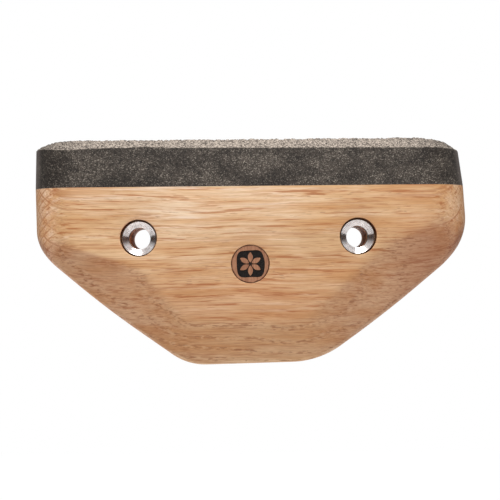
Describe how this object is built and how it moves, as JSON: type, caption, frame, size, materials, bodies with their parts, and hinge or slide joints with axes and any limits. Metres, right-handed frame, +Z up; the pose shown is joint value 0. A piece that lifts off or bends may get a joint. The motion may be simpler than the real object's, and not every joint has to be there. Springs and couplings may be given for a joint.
{
  "type": "climbing hold",
  "caption": "Wall-mounted climbing hold: an oak block with a broad lower bevel, a rough stone finger edge bonded along its top, steel screw cups and a round wooden plug.",
  "frame": {"origin": "on the back face that lies on the wall, midway between the two screw bores", "axes": "+X to the right seen from the front, +Y into the wall, +Z up; the front face looks along -Y"},
  "size_m": [0.2305, 0.046, 0.1222],
  "materials": {
    "oak": "sanded and oiled, satin",
    "stone": "honed front and ends, rough split top",
    "turned_steel": "bright, fine turning marks",
    "plug_wood": "sanded, burnt ornament"
  },
  "bodies": {
    "root": {"oak_body": "oak", "stone_edge": "stone", "left_screw_cup": "turned_steel", "right_screw_cup": "turned_steel", "badge_plug": "plug_wood"}
  },
  "joints": []
}
